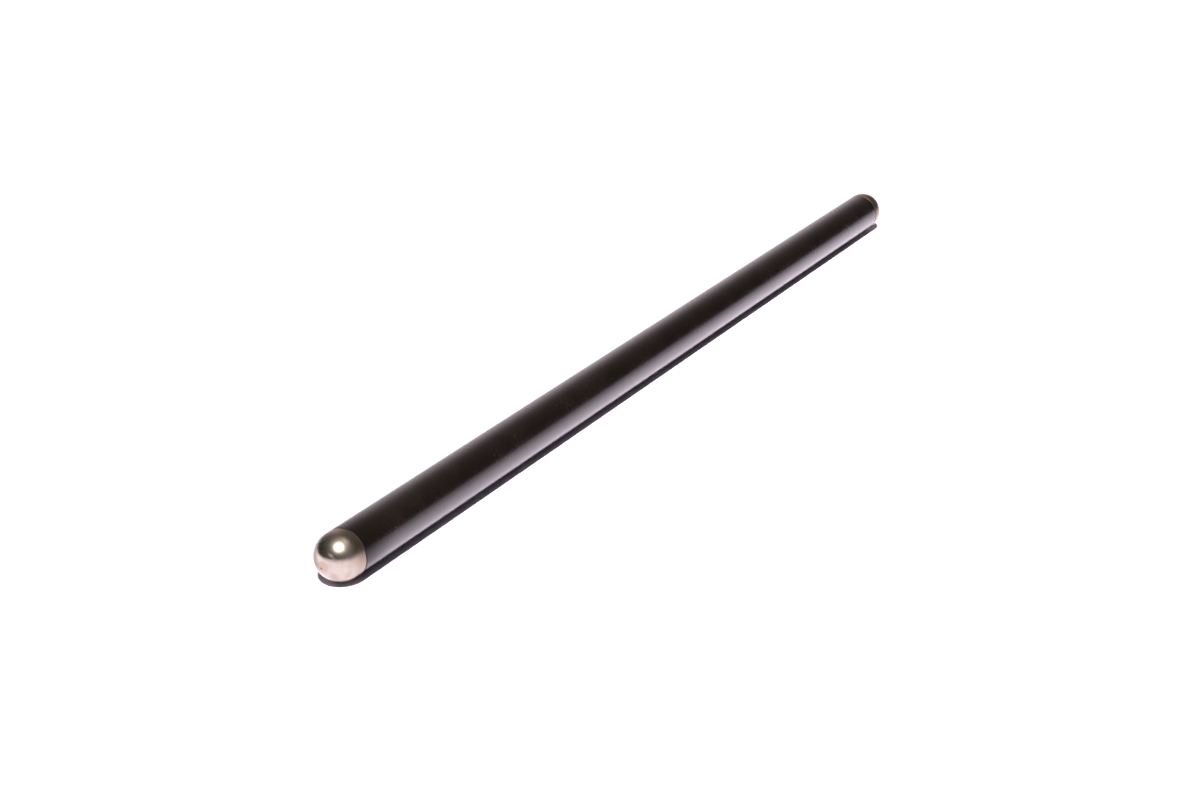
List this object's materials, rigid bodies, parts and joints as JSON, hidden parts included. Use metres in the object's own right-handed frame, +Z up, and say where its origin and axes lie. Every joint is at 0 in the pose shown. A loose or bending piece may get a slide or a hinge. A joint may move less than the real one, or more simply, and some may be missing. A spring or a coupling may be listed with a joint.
{
  "type": "engine pushrod",
  "caption": "Straight round engine pushrod: black steel tube with a bright solid steel ball at either end, carrying a lifter's motion up to a rocker arm.",
  "frame": {"origin": "on the resting surface, under the middle of the rod's length", "axes": "+X along the rod towards the lifter end, +Z up"},
  "size_m": [0.1982, 0.008, 0.0079],
  "materials": {
    "black_oxide_steel": "black oxide, semi-gloss",
    "ground_steel": "ground and polished bare steel"
  },
  "bodies": {
    "root": {"tube": "black_oxide_steel", "rocker_ball_end": "ground_steel", "lifter_ball_end": "ground_steel"}
  },
  "joints": []
}
